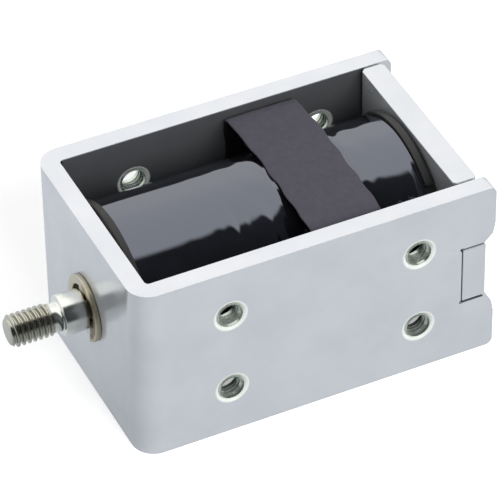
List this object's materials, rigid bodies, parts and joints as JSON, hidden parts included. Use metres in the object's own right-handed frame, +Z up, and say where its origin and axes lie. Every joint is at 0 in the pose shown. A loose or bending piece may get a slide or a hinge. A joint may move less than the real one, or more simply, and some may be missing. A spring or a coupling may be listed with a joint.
{
  "type": "push pull solenoid",
  "caption": "Open-frame push pull solenoid: bent steel frame around a taped coil, with a sliding plunger whose threaded rod comes out of the front wall.",
  "frame": {"origin": "under the middle of the overall length with the plunger at rest, centred across the frame, on the plane of the frame's lower edges", "axes": "+X along the plunger axis from the stud to the end plate, +Y across the frame, +Z up"},
  "size_m": [0.0562, 0.029, 0.024],
  "materials": {
    "zinc_steel": "bright zinc plated sheet, smooth, satin",
    "zinc_plate": "bright zinc plated steel plate, satin",
    "bobbin_plastic": "moulded dark grey plastic, satin",
    "copper_wire": "enamelled copper wire",
    "black_tape": "glossy black film tape with wrinkles",
    "grey_cloth": "matte dark grey cloth tape",
    "black_sleeve": "black shrink sleeve",
    "pole_iron": "turned soft iron, plated",
    "sintered_bronze": "sintered bronze, satin",
    "brass_tube": "drawn brass, bright",
    "washer_brass": "brass shim, satin",
    "plunger_iron": "ground and plated soft iron, bright",
    "rod_steel": "turned stainless steel, bright",
    "clip_steel": "spring steel with pale yellow passivation"
  },
  "bodies": {
    "stator": {"frame": "zinc_steel", "end_plate": "zinc_plate", "bobbin": "bobbin_plastic", "winding": "copper_wire", "coil_tape": "black_tape", "cloth_band": "grey_cloth", "lead_splices": "black_sleeve", "fixed_pole": "pole_iron", "rod_bush": "sintered_bronze", "guide_tube": "brass_tube"},
    "washer": {"stop_washer": "washer_brass"},
    "plunger": {"armature": "plunger_iron", "push_rod": "rod_steel", "retaining_ring": "clip_steel"}
  },
  "joints": [
    {"name": "plunger_stroke", "type": "slide", "parent": "stator", "child": "washer", "axis": [-1, 0, 0], "range_m": [0, 0.006]},
    {"name": "plunger_spin", "type": "hinge", "parent": "washer", "child": "plunger", "pos_m": [0, 0, 0.012], "axis": [-1, 0, 0], "continuous": true}
  ]
}
